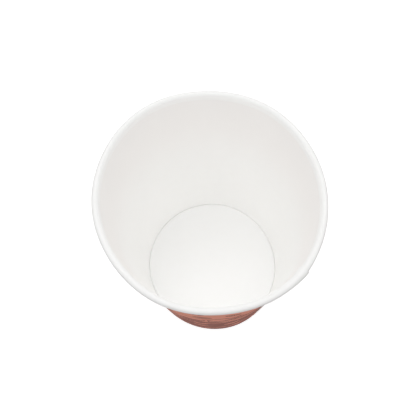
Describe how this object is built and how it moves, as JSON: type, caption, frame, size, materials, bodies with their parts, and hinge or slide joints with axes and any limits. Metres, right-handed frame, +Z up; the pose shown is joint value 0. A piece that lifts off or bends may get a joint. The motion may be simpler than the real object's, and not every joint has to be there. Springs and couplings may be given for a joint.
{
  "type": "paper coffee cup",
  "caption": "Open single-wall paper hot-drink cup with a rolled rim, a lapped side seam, a hemmed foot and a raised base disc.",
  "frame": {"origin": "centre of the foot, on the plane that the cup stands on", "axes": "+Z up along the cup's axis; the cup's front in the picture is at -Y; the side seam's inner edge is 41 degrees from +X towards -Y"},
  "size_m": [0.08, 0.08, 0.0924],
  "materials": {
    "sidewall_board": "coated paperboard, white inside, printed outside",
    "base_board": "coated white paperboard"
  },
  "bodies": {
    "root": {"sidewall": "sidewall_board", "base": "base_board"}
  },
  "joints": []
}
